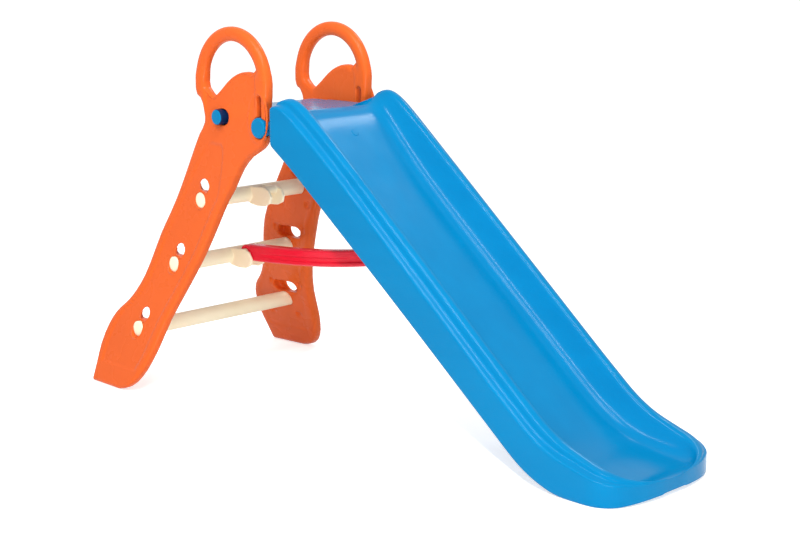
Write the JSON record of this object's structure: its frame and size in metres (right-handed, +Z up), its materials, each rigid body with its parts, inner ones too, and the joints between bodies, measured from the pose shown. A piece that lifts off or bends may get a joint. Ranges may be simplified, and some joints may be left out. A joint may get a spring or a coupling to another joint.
{
  "type": "folding children's slide",
  "caption": "Folding children's slide: orange ladder with loop handles, cream rungs, blue chute, red brace bar and push-button locks.",
  "frame": {"origin": "on the floor, under the middle of the slide's length and width", "axes": "+X along the slide towards its exit, +Y to the left of a child sliding down, +Z up"},
  "size_m": [1.95, 0.804, 1.1165],
  "materials": {
    "orange_plastic": "satin",
    "cream_plastic": "satin",
    "blue_plastic": "glossy",
    "red_plastic": "satin",
    "grey_plastic": "satin",
    "steel": "satin"
  },
  "bodies": {
    "ladder": {"ladder_panel_left": "orange_plastic", "ladder_panel_right": "orange_plastic", "top_rung": "cream_plastic", "middle_rung": "cream_plastic", "bottom_rung": "cream_plastic", "top_cap_left": "cream_plastic", "top_cap_right": "cream_plastic", "middle_cap_left": "cream_plastic", "middle_cap_right": "cream_plastic", "bottom_cap_left": "cream_plastic", "bottom_cap_right": "cream_plastic", "lock_spring_left": "steel", "lock_spring_right": "steel"},
    "chute": {"slide_chute": "blue_plastic", "pivot_boss_left": "blue_plastic", "pivot_boss_right": "blue_plastic", "brace_bracket": "blue_plastic", "bracket_screw_upper": "steel", "bracket_screw_lower": "steel", "water_outlet": "blue_plastic", "outlet_nut": "grey_plastic", "hose_inlet": "grey_plastic"},
    "brace": {"brace_bar": "red_plastic", "brace_pin": "steel"},
    "left_button": {"lock_button_left": "blue_plastic", "button_clip_left": "steel"},
    "right_button": {"lock_button_right": "blue_plastic", "button_clip_right": "steel"}
  },
  "joints": [
    {"name": "chute_fold", "type": "hinge", "parent": "ladder", "child": "chute", "pos_m": [-0.3425, 0, 0.832], "axis": [0, 1, 0], "range_deg": [0, 70]},
    {"name": "brace_swing", "type": "hinge", "parent": "ladder", "child": "brace", "pos_m": [-0.646, 0, 0.4], "axis": [0, 1, 0], "range_deg": [0, 105]},
    {"name": "left_button_press", "type": "slide", "parent": "ladder", "child": "left_button", "axis": [0, -1, 0], "range_m": [0, 0.011], "stiffness_N_per_m": 150, "springref_m": -0.005, "deforming": ["lock_spring_left"]},
    {"name": "right_button_press", "type": "slide", "parent": "ladder", "child": "right_button", "axis": [0, 1, 0], "range_m": [0, 0.011], "stiffness_N_per_m": 150, "springref_m": -0.005, "deforming": ["lock_spring_right"]}
  ],
  "couplings": [
    {"joint": "brace_swing", "follows": "chute_fold", "ratio": 1.5}
  ]
}
